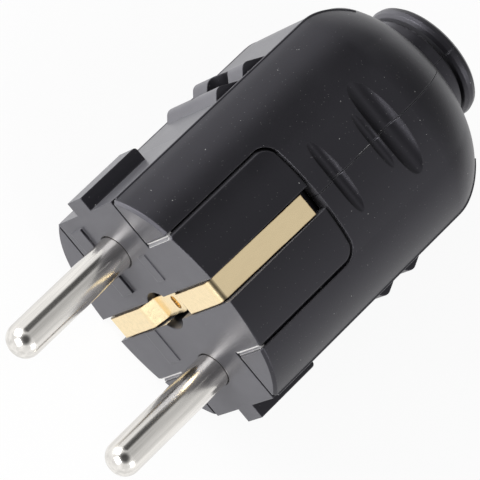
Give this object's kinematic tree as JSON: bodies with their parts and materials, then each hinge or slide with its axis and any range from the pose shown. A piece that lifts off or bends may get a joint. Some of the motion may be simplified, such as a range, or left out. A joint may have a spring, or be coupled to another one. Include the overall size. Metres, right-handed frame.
{
  "type": "type F plug",
  "caption": "Rewireable black type F plug with round pins, side earth contacts, two half shells and a rimmed cord entry.",
  "frame": {"origin": "centre of the front face, on the plug's axis", "axes": "+Y along the plug from the front face to the cord entry, +X from one pin to the other, +Z a clip side; it lies on the -Z clip side"},
  "size_m": [0.0354, 0.0702, 0.032],
  "materials": {
    "black_carrier_plastic": "fine satin moulding",
    "black_shell_plastic": "fine satin moulding",
    "nickel_plate": "polished nickel plate on brass",
    "zinc_steel": "zinc plated",
    "brass": "bright stamped sheet"
  },
  "bodies": {
    "root": {"contact_carrier": "black_carrier_plastic", "left_shell": "black_shell_plastic", "right_shell": "black_shell_plastic", "pin_left": "nickel_plate", "pin_right": "nickel_plate", "pin_terminal_screws": "zinc_steel", "terminal_retainer": "black_carrier_plastic", "earth_terminal": "brass", "earth_clamp_washer": "zinc_steel", "earth_terminal_screw": "zinc_steel", "upper_earth_strip": "brass", "lower_earth_strip": "brass", "cord_clamp_bar": "black_carrier_plastic", "cord_clamp_screws": "zinc_steel", "housing_screw": "zinc_steel", "housing_nut": "zinc_steel"}
  },
  "joints": []
}
